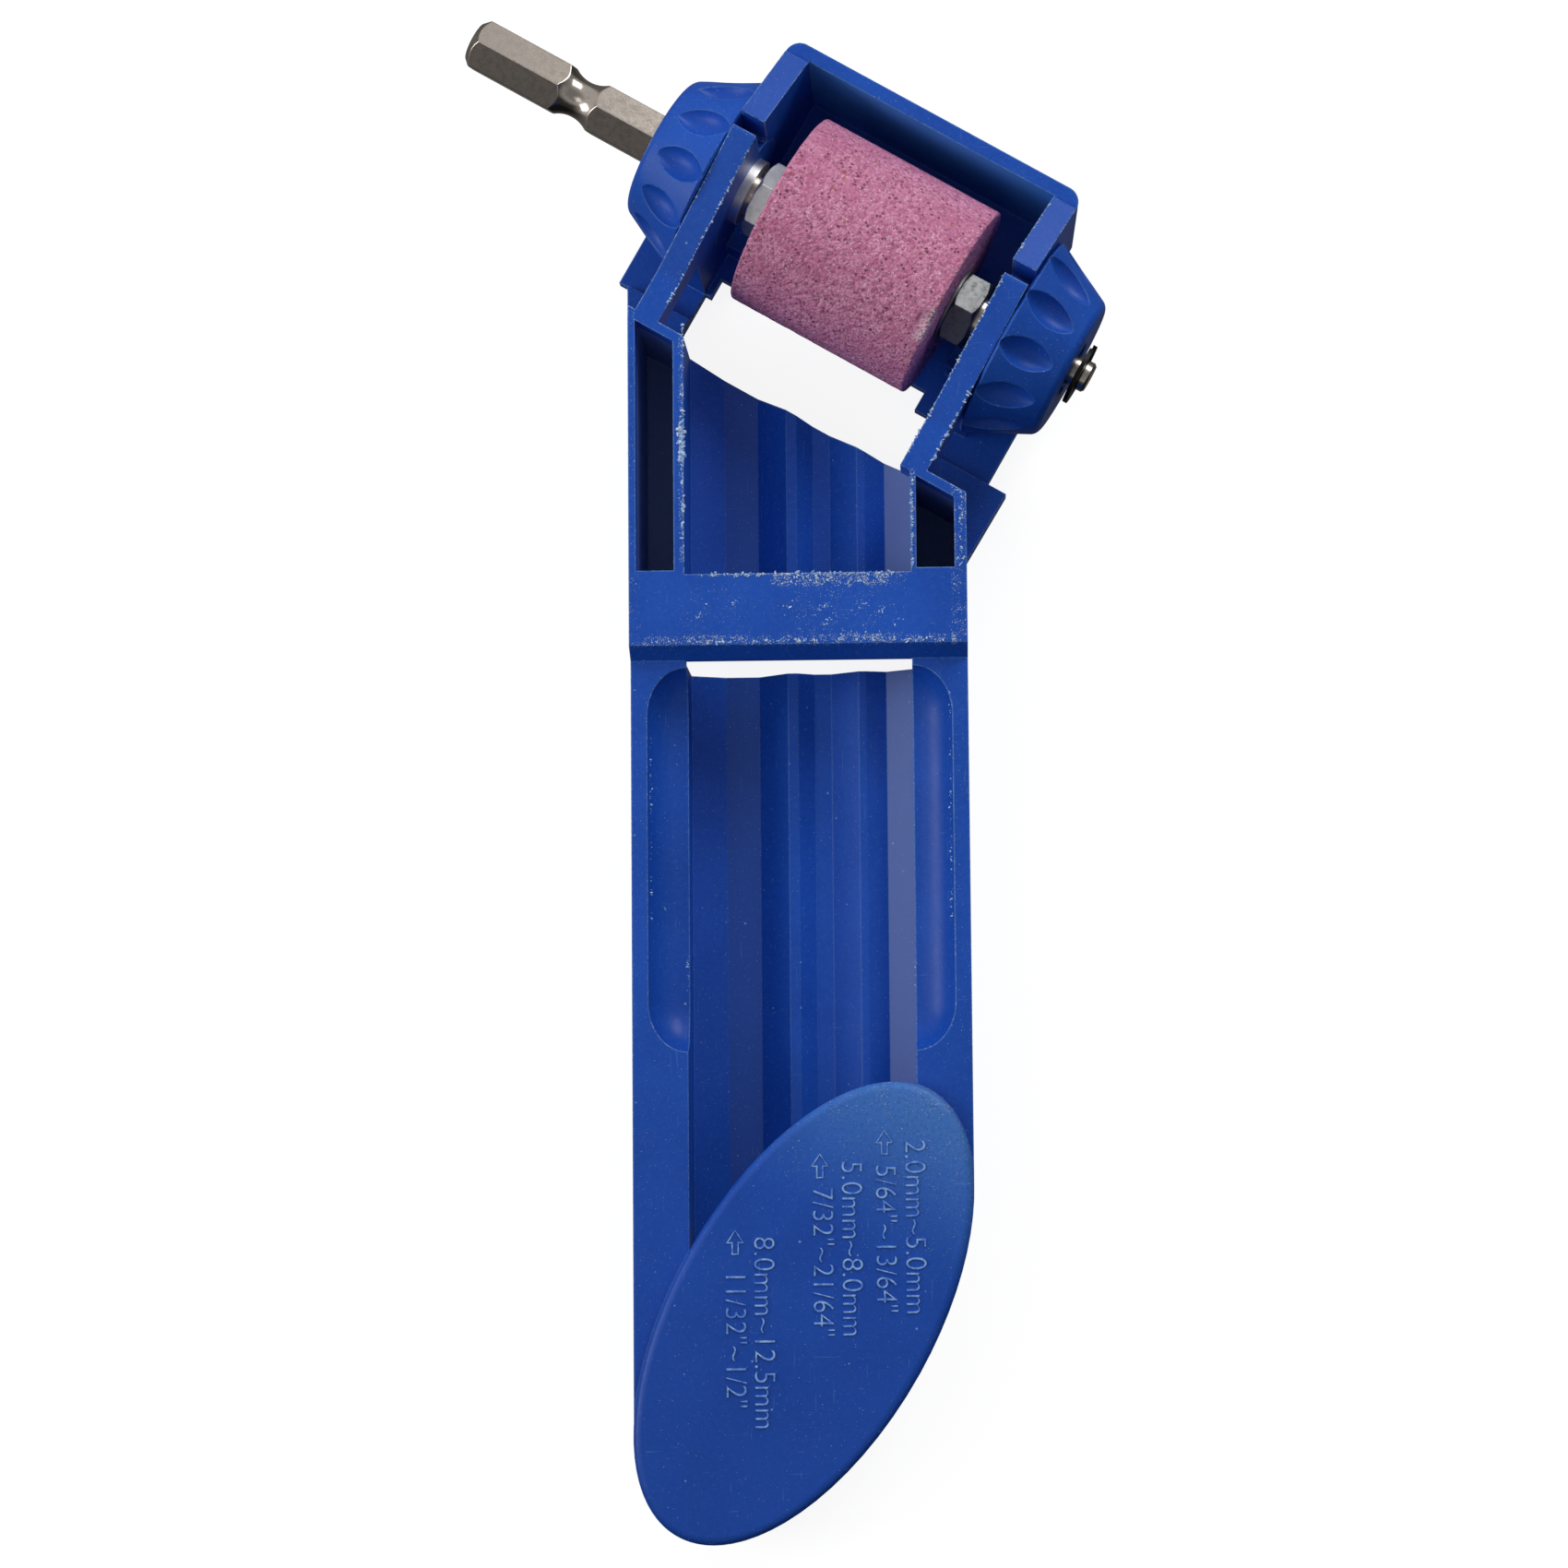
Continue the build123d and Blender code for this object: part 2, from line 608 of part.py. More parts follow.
def hex_nut(start, stop, turn):
    """A hexagon nut between two stations, its corners bevelled at both ends."""
    with BuildPart() as nut:
        with BuildSketch(station(start, AXLE_Z)):
            RegularPolygon(NUT_FLATS / 2, 6, major_radius=False, rotation=turn)
            Circle(JOURNAL_RADIUS + SEAT_CLEARANCE, mode=Mode.SUBTRACT)
        extrude(amount=stop - start)
        with BuildSketch(axial(AXLE_Z)):
            for end, inward in ((start, 1), (stop, -1)):
                Polygon(
                    (end - 0.1 * inward, NUT_CORNER - 0.75),
                    (end - 0.1 * inward, NUT_CORNER + 0.2),
                    (end + NUT_BEVEL * inward, NUT_CORNER + 0.2),
                    align=None,
                )
        revolve(axis=axle_axis(AXLE_Z), mode=Mode.SUBTRACT)
    return nut.part


clamp_nut_drive = hex_nut(NUT_DRIVE_START, WHEEL_START - WASHER_THICKNESS, NUT_DRIVE_TURN)
clamp_nut_drive.label = "clamp_nut_drive"
export_step(clamp_nut_drive, "parts/clamp_nut_drive.step")
clamp_nut_free = hex_nut(WHEEL_END + WASHER_THICKNESS, NUT_FREE_END, NUT_FREE_TURN)
clamp_nut_free.label = "clamp_nut_free"
export_step(clamp_nut_free, "parts/clamp_nut_free.step")

# ---------------------------------------------------------------- E-clip
with BuildPart() as e_clip:
    with BuildSketch(station(CLIP_START, AXLE_Z)):
        Circle(CLIP_RADIUS)
        Circle(CLIP_INNER, mode=Mode.SUBTRACT)
        with PolarLocations(CLIP_RADIUS, 1, start_angle=CLIP_OPENING_ANGLE):
            Rectangle(4, CLIP_OPENING, mode=Mode.SUBTRACT)
        with PolarLocations(CLIP_INNER - 0.4, 3, start_angle=CLIP_OPENING_ANGLE + 90, angular_range=270):
            Rectangle(2 * (CLIP_INNER - CLIP_GROOVE_RADIUS), CLIP_LUG)
        Circle(CLIP_GROOVE_RADIUS + SEAT_CLEARANCE, mode=Mode.SUBTRACT)
    extrude(amount=CLIP_THICKNESS)
e_clip.part.label = "e_clip"
export_step(e_clip.part, "parts/e_clip.step")
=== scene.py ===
import bpy, bmesh, json, math, random
from mathutils import Matrix, Vector, noise


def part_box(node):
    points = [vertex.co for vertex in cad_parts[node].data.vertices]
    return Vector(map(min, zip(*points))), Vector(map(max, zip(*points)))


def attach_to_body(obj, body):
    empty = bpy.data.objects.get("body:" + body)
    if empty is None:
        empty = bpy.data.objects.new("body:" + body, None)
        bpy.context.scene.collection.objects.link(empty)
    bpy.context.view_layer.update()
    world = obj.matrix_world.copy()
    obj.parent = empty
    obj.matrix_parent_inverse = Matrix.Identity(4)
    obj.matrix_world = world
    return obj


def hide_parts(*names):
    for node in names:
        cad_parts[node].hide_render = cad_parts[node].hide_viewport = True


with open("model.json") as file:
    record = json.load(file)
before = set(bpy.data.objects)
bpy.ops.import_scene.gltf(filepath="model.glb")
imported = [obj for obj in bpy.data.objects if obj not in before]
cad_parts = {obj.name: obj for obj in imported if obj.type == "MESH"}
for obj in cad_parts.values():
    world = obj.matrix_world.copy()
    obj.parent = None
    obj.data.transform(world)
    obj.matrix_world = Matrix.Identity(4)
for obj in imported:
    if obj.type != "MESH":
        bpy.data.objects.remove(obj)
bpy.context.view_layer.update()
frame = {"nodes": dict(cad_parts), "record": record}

MM = 0.001
record = frame["record"]

# Directions: the trough runs along +Y, the head is set at an angle to it
joints = {j["name"]: j for j in record["behaviour"]["joints"]}
AXIS = Vector(joints["adjust_drive"]["axis"])            # along the axle, to the free end
ACROSS = Vector((-AXIS.y, AXIS.x, 0))                    # across it, away from the tail
AXLE = Vector(joints["wheel_spin"]["pos_m"])             # middle of the wheel
channel = next(o for o in record["physics"]["openings"] if o["name"] == "bit_channel")["box_m"]
TROUGH_X = (channel[0][0] + channel[1][0]) / 2           # centreline of the trough
TAIL_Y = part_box("housing")[0][1]                         # tip of the tail

# Heights above the floor, in mm
PLATE_TOP = 23.2         # oval plate at the tail
RAIL_TOP = 21.4          # rails beside the trough
DECK_TOP = 24.2          # bridge, pocket frames and the low ends of the flanges
HEAD_TOP = 29.7          # highest point of the head

# Other sizes in mm, measured as body_point() and head_point() do
CHAMBER_WALL_V = 16.9    # inner face of the end wall
POCKET_START_Y = 119.2


def body_point(x, y, z):
    """A point given in mm from the trough's centreline, the tail and the floor."""
    return Vector((TROUGH_X + x * MM, TAIL_Y + y * MM, z * MM))


def head_point(u, v, z):
    """A point given in mm along the axle, across it, and above the floor."""
    p = AXLE + AXIS * u * MM + ACROSS * v * MM
    return Vector((p.x, p.y, z * MM))


# ------------------------------------------------------------------ shader helpers
class Shader:
    """A material's node tree, with short calls for the nodes used here."""

    def __init__(self, name):
        self.mat = bpy.data.materials.new(name)
        self.mat.use_nodes = True
        self.tree = self.mat.node_tree
        self.bsdf = self.tree.nodes["Principled BSDF"]
        coords = self.tree.nodes.new("ShaderNodeTexCoord")
        scale = self.tree.nodes.new("ShaderNodeVectorMath")
        scale.operation = "SCALE"
        scale.inputs["Scale"].default_value = 1000
        self.tree.links.new(coords.outputs["Object"], scale.inputs[0])
        self.mm = scale.outputs[0]                       # position in mm

    def put(self, socket, value):
        if isinstance(value, bpy.types.NodeSocket):
            self.tree.links.new(value, socket)
        elif isinstance(value, tuple) and len(value) == 3 and socket.type == "RGBA":
            socket.default_value = (*value, 1)
        else:
            socket.default_value = value

    def math(self, op, a, b=0.0, c=0.0):
        n = self.tree.nodes.new("ShaderNodeMath")
        n.operation = op
        for socket, value in zip(n.inputs, (a, b, c)):
            self.put(socket, value)
        return n.outputs[0]

    def add(self, *values):
        total = values[0]
        for v in values[1:]:
            total = self.math("ADD", total, v)
        return total

    def mul(self, *values):
        total = values[0]
        for v in values[1:]:
            total = self.math("MULTIPLY", total, v)
        return total

    def step(self, value, low, high, out_low=0.0, out_high=1.0):
        """Smooth ramp of value from low to high."""
        n = self.tree.nodes.new("ShaderNodeMapRange")
        n.interpolation_type = "SMOOTHSTEP"
        self.put(n.inputs["Value"], value)
        self.put(n.inputs["From Min"], low)
        self.put(n.inputs["From Max"], high)
        self.put(n.inputs["To Min"], out_low)
        self.put(n.inputs["To Max"], out_high)
        return n.outputs[0]

    def mix(self, factor, a, b):
        n = self.tree.nodes.new("ShaderNodeMix")
        n.data_type = "RGBA"
        self.put(n.inputs[0], factor)
        self.put(n.inputs[6], a)
        self.put(n.inputs[7], b)
        return n.outputs[2]

    def blend(self, factor, a, b):
        n = self.tree.nodes.new("ShaderNodeMix")
        n.data_type = "FLOAT"
        self.put(n.inputs[0], factor)
        self.put(n.inputs[2], a)
        self.put(n.inputs[3], b)
        return n.outputs[0]

    def noise(self, scale, detail=2.0, roughness=0.5, distortion=0.0, at=None):
        n = self.tree.nodes.new("ShaderNodeTexNoise")
        self.put(n.inputs["Vector"], at or self.mm)
        n.inputs["Scale"].default_value = scale
        n.inputs["Detail"].default_value = detail
        n.inputs["Roughness"].default_value = roughness
        n.inputs["Distortion"].default_value = distortion
        return n.outputs[0]

    def cells(self, scale):
        """(distance, two random values per cell) of a Voronoi pattern."""
        n = self.tree.nodes.new("ShaderNodeTexVoronoi")
        self.put(n.inputs["Vector"], self.mm)
        n.inputs["Scale"].default_value = scale
        value = self.tree.nodes.new("ShaderNodeSeparateColor")
        self.tree.links.new(n.outputs["Color"], value.inputs[0])
        return n.outputs["Distance"], value.outputs[0], value.outputs[1]

    def stretched(self, x, y, z, turn=(0, 0, 0)):
        """Position in mm, turned and scaled, for patterns that run one way."""
        n = self.tree.nodes.new("ShaderNodeMapping")
        n.vector_type = "POINT"
        self.tree.links.new(self.mm, n.inputs["Vector"])
        n.inputs["Rotation"].default_value = turn
        n.inputs["Scale"].default_value = (x, y, z)
        return n.outputs[0]

    def dot(self, direction, at=None):
        n = self.tree.nodes.new("ShaderNodeVectorMath")
        n.operation = "DOT_PRODUCT"
        self.put(n.inputs[0], at or self.mm)
        n.inputs[1].default_value = direction
        return n.outputs["Value"]

    def along(self, direction, origin):
        """Distance in mm along a direction from an origin given in metres."""
        return self.math("SUBTRACT", self.dot(direction), origin.dot(direction) * 1000)

    def normal_along(self, direction):
        g = self.tree.nodes.new("ShaderNodeNewGeometry")
        turn = self.tree.nodes.new("ShaderNodeVectorTransform")
        turn.vector_type = "NORMAL"
        turn.convert_from = "WORLD"
        turn.convert_to = "OBJECT"
        self.tree.links.new(g.outputs["Normal"], turn.inputs[0])
        return self.dot(direction, at=turn.outputs[0])

    def edges(self, radius, low=0.02, high=0.25):
        """1 near an edge, 0 on the flat, from the normal rounded over a radius in mm."""
        g = self.tree.nodes.new("ShaderNodeNewGeometry")
        b = self.tree.nodes.new("ShaderNodeBevel")
        b.samples = 8
        b.inputs["Radius"].default_value = radius * MM
        self.rounded = b.outputs["Normal"]
        n = self.tree.nodes.new("ShaderNodeVectorMath")
        n.operation = "DOT_PRODUCT"
        self.tree.links.new(g.outputs["Normal"], n.inputs[0])
        self.tree.links.new(self.rounded, n.inputs[1])
        return self.step(self.math("SUBTRACT", 1.0, n.outputs["Value"]), low, high)

    def window(self, value, low, high, soft):
        """1 while value lies between low and high, falling off over soft."""
        up = self.step(value, low - soft, low)
        down = self.step(value, high, high + soft, 1.0, 0.0)
        return self.mul(up, down)

    def bump(self, height, strength, distance=0.001):
        """Bump from a height in mm, on the normal that edges() rounded."""
        n = self.tree.nodes.new("ShaderNodeBump")
        self.put(n.inputs["Height"], height)
        n.inputs["Strength"].default_value = strength
        n.inputs["Distance"].default_value = distance
        self.tree.links.new(self.rounded, n.inputs["Normal"])
        self.tree.links.new(n.outputs["Normal"], self.bsdf.inputs["Normal"])


def give(material, *objects):
    for o in objects:
        o.data.materials.clear()
        o.data.materials.append(material)


# ------------------------------------------------------------------ materials
def blue_plastic(name, scuffs_and_painted_light):
    """Moulded satin blue plastic; the second argument is 1 on the worn housing, which also gets painted
    light and shade, and less on clean pieces.
    """
    s = Shader(name)
    x = s.along(Vector((1, 0, 0)), Vector((TROUGH_X, 0, 0)))
    y = s.along(Vector((0, 1, 0)), Vector((0, TAIL_Y, 0)))
    z = s.along(Vector((0, 0, 1)), Vector((0, 0, 0)))
    v = s.along(ACROSS, AXLE)

    cloud = s.noise(0.07, 3, 0.6)
    fine = s.noise(1.6, 3, 0.6)
    colour = s.mix(s.step(cloud, 0.3, 0.7), (0.0085, 0.086, 0.520), (0.0125, 0.106, 0.610))
    colour = s.mix(s.mul(s.step(fine, 0.35, 0.75), 0.16), colour, (0.050, 0.19, 0.70))

    # Pale edges: partly rubbed wear, partly a painted highlight along the groove crests and other edges
    edge = s.edges(0.32, 0.012, 0.15)
    rub = s.step(s.noise(2.2, 4, 0.65), 0.30, 0.55)
    colour = s.mix(s.mul(edge, rub, 0.30 + 0.45 * scuffs_and_painted_light), colour, (0.20, 0.45, 0.88))

    if scuffs_and_painted_light >= 1:
        # The slope of the narrowest groove is duller and paler than the rest: the paler colour is partly
        # a matte finish and partly a painted sheen
        trough = s.mul(s.step(y, 28, 30), s.step(v, -20.4, -19.8, 1.0, 0.0))
        painted_sheen_slope = s.mul(s.window(x, 10.75, 13.95, 0.1), s.window(z, 11.35, 14.2, 0.2), trough)
        colour = s.mix(s.mul(painted_sheen_slope, 0.85), colour, (0.170, 0.250, 0.570))
        # The floor of the widest groove is a little duller too
        floor_zone = s.mul(s.window(x, -9.7, -5.5, 0.1), s.window(z, 6.9, 7.6, 0.2), trough)
        colour = s.mix(s.mul(floor_zone, 0.55), colour, (0.034, 0.105, 0.430))
        # Painted shade: the plastic is painted a little darker towards the tail
        colour = s.mix(s.mul(s.step(y, 0, 110, 1.0, 0.0), 0.50), colour, (0.0050, 0.048, 0.330))
        # Paler plastic inside the pockets, partly grey dust and partly painted light in the deep pockets;
        # the brighter blue on the inner face of the end wall is painted light where the wall lies in
        # shade
        pocket_dust_and_light = s.mul(
            s.step(y, POCKET_START_Y - 0.2, POCKET_START_Y + 0.2),
            s.window(z, 0, 19.5, 2.5),
            s.step(v, -22.4, -22.0, 1.0, 0.0),
            s.math("MAXIMUM", s.window(x, -20.2, -14.6, 0.15), s.window(x, 14.6, 20.2, 0.15)),
        )
        painted_light_chamber_wall = s.mul(
            s.window(v, CHAMBER_WALL_V - 2.9, CHAMBER_WALL_V + 0.1, 0.3),
            s.step(s.normal_along(ACROSS), -0.9, -0.6, 1.0, 0.0),
            s.window(z, 0, 24.5, 2.0),
        )
        colour = s.mix(s.mul(pocket_dust_and_light, s.add(0.65, s.mul(cloud, 0.4))), colour, (0.270, 0.400, 0.720))
        colour = s.mix(s.mul(painted_light_chamber_wall, s.add(0.55, s.mul(cloud, 0.4))), colour, (0.100, 0.400, 1.0))
        # Paler upper end of the oval plate
        plate = s.mul(s.step(z, 22.2, 22.6), s.window(y, 0, 59, 1))
        worn_end = s.mul(plate, s.step(s.add(y, s.mul(x, 0.55)), 38, 70))
        colour = s.mix(s.mul(worn_end, s.add(0.38, s.mul(rub, 0.30))), colour, (0.110, 0.330, 0.800))

    # Crumbs and burrs: denser near worn edges
    crumbs = s.noise(6.0, 3, 0.62, 0.3)
    clump = s.step(s.noise(0.8, 3, 0.6), 0.38, 0.60, 0.35, 1.0)
    zones = s.mul(edge, 0.08)
    if scuffs_and_painted_light >= 1:
        rail = s.step(z, RAIL_TOP - 0.9, RAIL_TOP - 0.5)
        top = s.step(z, DECK_TOP - 0.7, DECK_TOP - 0.3)
        zones = s.add(
            zones,
            s.mul(s.window(y, 117.5, 118.6, 0.9), s.window(x, -2, 11.5, 3), top, 0.17),
            s.mul(s.window(y, 118.4, 118.8, 0.2), s.window(x, -12, -3, 2), top, 0.14),
            s.mul(s.window(y, 109.8, 110.8, 0.4), s.window(x, -19, 19, 1), top, 0.12),
            s.mul(s.window(y, 110.5, 117, 1), s.window(x, 0, 9, 3), top, 0.055),
            s.mul(s.window(y, 110.5, 117, 1), s.window(x, -13, -7, 2), top, 0.040),
            s.mul(s.window(x, -14.5, -13.8, 0.3), s.window(y, 119, 151, 1), top, 0.13),
            s.mul(s.window(x, 13.8, 14.5, 0.3), s.window(y, 119, 131, 1), top, 0.11),
            s.mul(s.window(x, 19.0, 21.2, 0.2), s.window(y, 108, 130, 1), top, 0.10),
            s.mul(s.window(x, -21.2, -19.6, 0.2), s.window(y, 108, 152, 1), top, 0.06),
            s.mul(s.window(z, 23, 31, 0.5), s.window(v, -22, 16, 1), edge, 0.13),
            s.mul(s.window(y, 60, 107, 2), rail, edge, 0.09),
            s.mul(worn_end, 0.10),
        )
    crumb = s.step(s.add(crumbs, s.mul(zones, clump)), 0.675, 0.715)
    crumb_tone = s.mix(s.step(s.noise(5.0, 2), 0.35, 0.6), (0.20, 0.44, 0.82), (0.90, 0.97, 1.0))
    colour = s.mix(s.mul(crumb, 0.85), colour, crumb_tone)

    # Dust and nicks: tiny dots, one in many cells
    dots_d, dots_r, dots_g = s.cells(0.85)
    size = s.math("MULTIPLY_ADD", dots_g, 0.10, 0.03)
    rare = (0.90, 0.92) if scuffs_and_painted_light >= 1 else (0.965, 0.975)
    inside = s.step(s.math("SUBTRACT", dots_d, size), 0.0, 0.03, 1.0, 0.0)
    dot = s.mul(s.step(dots_r, *rare), inside)
    small_d, small_r, _ = s.cells(2.3)
    speck = s.mul(s.step(small_r, 0.965, 0.975), s.step(small_d, 0.10, 0.16, 1.0, 0.0))
    colour = s.mix(s.mul(s.math("MAXIMUM", dot, speck), 0.5), colour, (0.38, 0.62, 0.95))

    # Hairline scratches, two ways across
    lengthways = s.noise(1.0, 3, 0.6, 0.2, at=s.stretched(3.2, 0.16, 0.5, (0, 0, 0.5)))
    sideways = s.noise(1.0, 3, 0.6, 0.3, at=s.stretched(0.14, 3.0, 0.5, (0, 0, -0.35)))
    scratch = s.math("MAXIMUM", s.step(lengthways, 0.685, 0.72), s.step(sideways, 0.70, 0.73))
    colour = s.mix(s.mul(scratch, 0.07 + 0.08 * scuffs_and_painted_light), colour, (0.24, 0.48, 0.90))

    s.put(s.bsdf.inputs["Base Color"], colour)
    blotch = s.noise(0.35, 4, 0.6)
    rough = s.add(0.33, s.mul(blotch, 0.16), s.mul(crumb, 0.25), s.mul(scratch, 0.10))
    if scuffs_and_painted_light >= 1:
        rough = s.add(rough, s.mul(painted_sheen_slope, 0.2))
    s.put(s.bsdf.inputs["Roughness"], rough)
    s.bsdf.inputs["IOR"].default_value = 1.46
    s.bsdf.inputs["Specular IOR Level"].default_value = 0.34

    height = s.add(
        s.mul(s.noise(0.45, 2, 0.5), 0.02),
        s.mul(s.noise(5.5, 3, 0.6), 0.006),
        s.mul(crumb, 0.05),
        s.mul(scratch, -0.006),
        s.mul(dot, 0.03),
    )
    s.bump(height, 0.8)
    return s.mat


def corundum():
    """Coarse bonded pink abrasive with bright grains, dark pores and a few rusty spots."""
    s = Shader("pink_corundum")
    grain_d, grain_r, grain_g = s.cells(2.4)
    fine_d, fine_r, fine_g = s.cells(4.6)
    cloud = s.noise(0.22, 3, 0.6)
    base = s.mix(grain_r, (0.480, 0.120, 0.255), (1.0, 0.45, 0.68))
    base = s.mix(s.mul(fine_r, 0.55), base, (0.98, 0.40, 0.64))
    base = s.mix(s.mul(s.step(fine_g, 0.05, 0.35, 1.0, 0.0), 0.45), base, (0.36, 0.085, 0.185))
    base = s.mix(s.mul(s.step(cloud, 0.35, 0.7), 0.5), base, (0.68, 0.20, 0.375))
    edge = s.edges(0.35)
    base = s.mix(s.mul(edge, 0.45), base, (0.98, 0.52, 0.72))
    chip = s.step(s.noise(2.6, 4, 0.7), 0.40, 0.58)
    rim = s.mul(
        s.step(s.along(AXIS, AXLE), 10.6, 12.2),
        s.window(s.along(ACROSS, AXLE), -7.6, -4.4, 0.8),
        s.step(s.dot((0, 0, 1)), 24, 26),
    )
    base = s.mix(s.mul(chip, rim, 0.9), base, (0.98, 0.82, 0.90))
    pits = s.mul(s.step(grain_g, 0.87, 0.90), s.step(grain_d, 0.25, 0.55, 1.0, 0.0))
    base = s.mix(s.mul(pits, 0.75), base, (0.16, 0.035, 0.06))
    red_d, red_r, red_g = s.cells(0.75)
    rust = s.mul(s.step(red_r, 0.86, 0.88), s.step(red_d, 0.14, 0.30, 1.0, 0.0))
    base = s.mix(s.mul(rust, 0.6), base, s.mix(red_g, (0.48, 0.06, 0.05), (0.60, 0.22, 0.08)))
    spark = s.mul(s.step(fine_g, 0.905, 0.915), s.step(fine_d, 0.30, 0.50, 1.0, 0.0))
    base = s.mix(s.mul(spark, 0.85), base, (1.0, 0.86, 0.90))
    s.put(s.bsdf.inputs["Base Color"], base)
    s.put(s.bsdf.inputs["Roughness"], s.blend(spark, 0.85, 0.25))
    s.bsdf.inputs["Specular IOR Level"].default_value = 0.3
    height = s.add(
        s.mul(s.step(grain_d, 0.0, 0.8, 1.0, 0.0), 0.10),
        s.mul(s.step(fine_d, 0.0, 0.8, 1.0, 0.0), 0.05),
        s.mul(s.noise(7.0, 3, 0.7), 0.06),
        s.mul(pits, -0.16),
    )
    s.bump(height, 1.0)
    return s.mat


def steel(name, tint, roughness, mottle, turned):
    """Plated steel; turned adds fine rings round the axle."""
    s = Shader(name)
    s.bsdf.inputs["Metallic"].default_value = 1.0
    u = s.along(AXIS, AXLE)
    blotch = s.noise(1.3, 5, 0.68)
    fine = s.noise(7.0, 3, 0.7)
    dark = tuple(c * 0.5 for c in tint)
    colour = s.mix(s.mul(s.step(blotch, 0.48, 0.72), mottle), tint, dark)
    stain = s.mul(s.step(fine, 0.60, 0.72), mottle)
    colour = s.mix(s.mul(stain, 0.6), colour, (0.10, 0.085, 0.07))
    edge = s.edges(0.2)
    colour = s.mix(s.mul(edge, 0.6), colour, tuple(min(1.0, c * 1.5) for c in tint))
    s.put(s.bsdf.inputs["Base Color"], colour)
    rough = s.add(roughness, s.mul(s.step(blotch, 0.35, 0.75), 0.12), s.mul(fine, 0.08), -0.05)
    s.put(s.bsdf.inputs["Roughness"], rough)
    n = s.tree.nodes.new("ShaderNodeCombineXYZ")
    s.tree.links.new(u, n.inputs[0])
    rings = s.noise(9.0, 2, 0.5, at=n.outputs[0])
    height = s.add(
        s.mul(rings, 0.006 * turned),
        s.mul(fine, 0.005),
        s.mul(blotch, 0.008),
    )
    s.bump(height, 0.8)
    return s.mat


def black_oxide():
    s = Shader("black_oxide_steel")
    s.bsdf.inputs["Metallic"].default_value = 0.7
    worn = s.mul(s.edges(0.1), s.step(s.noise(5, 3), 0.45, 0.6))
    colour = s.mix(s.mul(worn, 0.6), (0.014, 0.013, 0.013), (0.14, 0.13, 0.13))
    s.put(s.bsdf.inputs["Base Color"], colour)
    s.put(s.bsdf.inputs["Roughness"], s.add(0.34, s.mul(s.noise(2.5, 4, 0.6), 0.22)))
    s.bump(s.mul(s.noise(9.0, 3, 0.6), 0.006), 0.8)
    return s.mat


nodes = frame["nodes"]
housing_blue = blue_plastic("housing_blue_plastic", 1.0)
knob_blue = blue_plastic("knob_blue_plastic", 0.2)
give(housing_blue, nodes["housing"])
give(knob_blue, nodes["knob_drive"], nodes["knob_free"])
nickel = steel("nickel_plate", (0.62, 0.55, 0.49), 0.17, 0.45, 0.4)
zinc = steel("zinc_plate", (0.26, 0.27, 0.27), 0.44, 0.70, 0.4)
bright = steel("bright_plate_and_painted_nut_sheen", (0.86, 0.86, 0.85), 0.36, 0.25, 0.4)
give(nickel, nodes["spindle"])
# The bushes are bright turned steel; the drive-side clamp nut gets this brighter plate as painted light,
# a brighter nut standing in for its lit facet
give(bright, nodes["bush_drive"], nodes["bush_free"], nodes["clamp_nut_drive"])
give(zinc, nodes["washer_drive"], nodes["washer_free"], nodes["clamp_nut_free"])
give(black_oxide(), nodes["e_clip"])


# ------------------------------------------------------------------ grinding wheel with a gritty surface
def attach(name, mesh, material, body):
    """An object made from a mesh, riding on a body."""
    piece = bpy.data.objects.new(name, mesh)
    bpy.context.collection.objects.link(piece)
    give(material, piece)
    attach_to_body(piece, body)
    return piece


def mesh_from(name, vertices, faces):
    """A mesh whose faces all point outwards."""
    mesh = bpy.data.meshes.new(name)
    mesh.from_pydata(vertices, [], faces)
    mesh.validate()
    bm = bmesh.new()
    bm.from_mesh(mesh)
    bmesh.ops.recalc_face_normals(bm, faces=bm.faces)
    bm.to_mesh(mesh)
    bm.free()
    return mesh


def span(start, stop, count):
    return [start + (stop - start) * i / count for i in range(count + 1)]


def gritty_wheel():
    """The wheel again, turned from a fine profile whose surface is pitted inwards."""
    low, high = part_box("grinding_wheel")
    radius = (high[2] - low[2]) / 2 / MM
    half = 12.5
    bore, bevel = 3.1, 0.35
    profile = [(bore, -half)]
    profile += [(r, -half) for r in span(bore, radius - bevel, 24)[1:]]
    profile += [(radius - 0.1, -half + 0.1)]
    profile += [(radius, u) for u in span(-half + bevel, half - bevel, 64)]
    profile += [(radius - 0.1, half - 0.1)]
    profile += [(r, half) for r in span(radius - bevel, bore, 24)]
    around = 224
    vertices = []
    for index, (r, u) in enumerate(profile):
        end = 0 if abs(u) < half - 0.01 else 1
        for step in range(around):
            a = 2 * math.pi * step / around
            p = Vector((r * math.cos(a), r * math.sin(a), u))
            grit = max(0.0, noise.noise(p * 2.1)) * 0.16
            grit += max(0.0, noise.noise(p * 0.9 + Vector((7, 3, 1)))) * 0.08
            if 10.8 < u < 12.6 and r > 11.5:
                # A chip in the rim on the free side
                gap = (Vector((math.sin(a) * r, math.cos(a) * r)) - Vector((-5.6, 11.4))).length
                grit += 0.35 * max(0.0, 1 - gap / 1.5)
            if index in (0, len(profile) - 1):
                grit = 0.0
            depth_r = grit if not end else (0.3 * grit if r > radius - 1 else 0.0)
            depth_u = grit * 0.8 if end else 0.0
            rr = r - depth_r
            uu = u - math.copysign(depth_u, u)
            sideways = ACROSS * rr * math.sin(a) * MM
            upwards = Vector((0, 0, rr * math.cos(a) * MM))
            vertices.append(AXLE + AXIS * uu * MM + sideways + upwards)
    rows = len(profile)
    faces = []
    for i in range(rows):
        for j in range(around):
            k = (i + 1) % rows
            m = (j + 1) % around
            faces.append((i * around + j, i * around + m, k * around + m, k * around + j))
    mesh = mesh_from("wheel_grit", vertices, faces)
    piece = attach("wheel_grit", mesh, corundum(), "spindle")
    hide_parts("grinding_wheel")


gritty_wheel()


